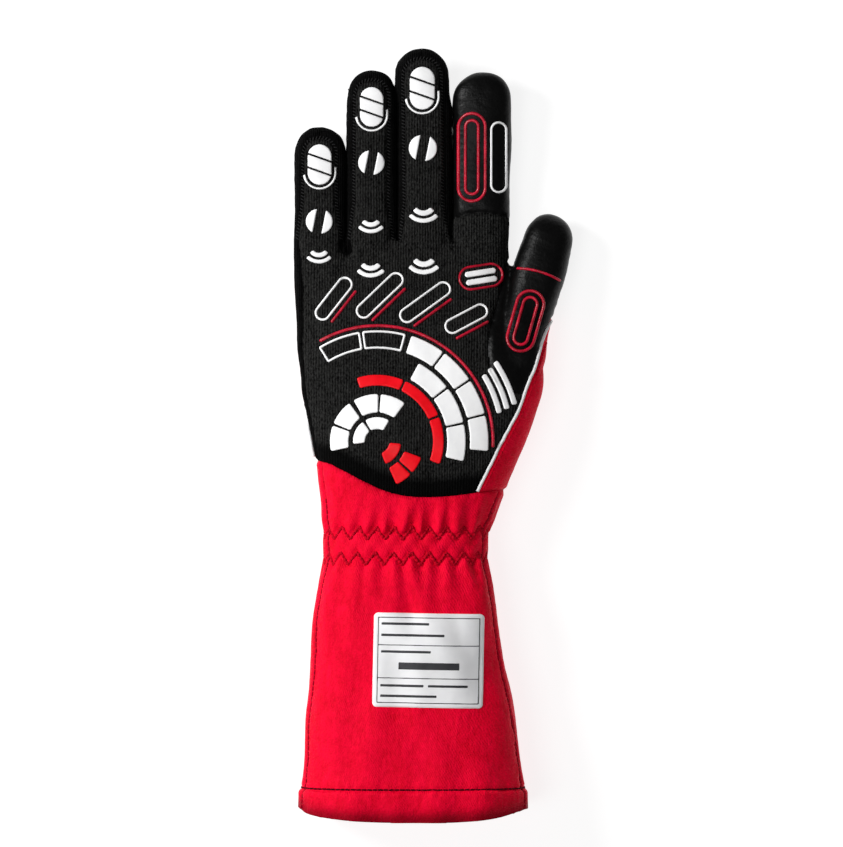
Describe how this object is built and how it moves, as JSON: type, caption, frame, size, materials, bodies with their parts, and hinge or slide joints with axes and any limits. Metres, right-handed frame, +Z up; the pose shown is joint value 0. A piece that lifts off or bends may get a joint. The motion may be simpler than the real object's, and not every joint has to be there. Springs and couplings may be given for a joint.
{
  "type": "racing glove",
  "caption": "Right-hand gauntlet driving glove lying palm up: black knit hand with silicone grips, red gathered wrist and long flared cuff.",
  "frame": {"origin": "middle of the footprint, on the surface that the back of the glove lies on", "axes": "+Y towards the fingertips, +X towards the thumb, +Z up out of the palm"},
  "size_m": [0.1286, 0.3546, 0.05],
  "materials": {
    "black_knit": "matt ribbed aramid knit",
    "red_cloth": "matt woven aramid cloth",
    "white_piping": "matt corded piping",
    "white_label": "smooth satin tape, bare of words",
    "red_silicone": "semi-gloss printed silicone",
    "white_silicone": "satin printed silicone"
  },
  "bodies": {
    "root": {"palm_panel": "black_knit", "little_side_strip": "black_knit", "fourchette_little_ring": "black_knit", "fourchette_ring_middle": "black_knit", "fourchette_middle_index": "black_knit", "knuckle_panel": "black_knit", "thumb_front": "black_knit", "thumb_back": "black_knit", "back_panel": "red_cloth", "cuff_front": "red_cloth", "cuff_back": "red_cloth", "piping_thumb_side": "white_piping", "piping_little_side": "white_piping", "label": "white_label", "grip_index_frame": "red_silicone", "grip_thumb_frame": "red_silicone", "grip_sweep_red": "red_silicone", "grip_stripe_1": "red_silicone", "grip_stripe_2": "red_silicone", "grip_little_tip": "white_silicone", "grip_little_joint": "white_silicone", "grip_ring_tip": "white_silicone", "grip_ring_joint": "white_silicone", "grip_middle_tip": "white_silicone", "grip_middle_joint": "white_silicone", "grip_index_patch": "white_silicone", "grip_fan_1": "white_silicone", "grip_fan_2": "white_silicone", "grip_fan_3": "white_silicone", "grip_fan_4": "white_silicone", "grip_sweep_outer": "white_silicone", "grip_sweep_left": "white_silicone", "grip_sweep_inner": "white_silicone", "grip_heel_1": "white_silicone", "grip_heel_2": "white_silicone", "grip_heel_3": "white_silicone"}
  },
  "joints": []
}
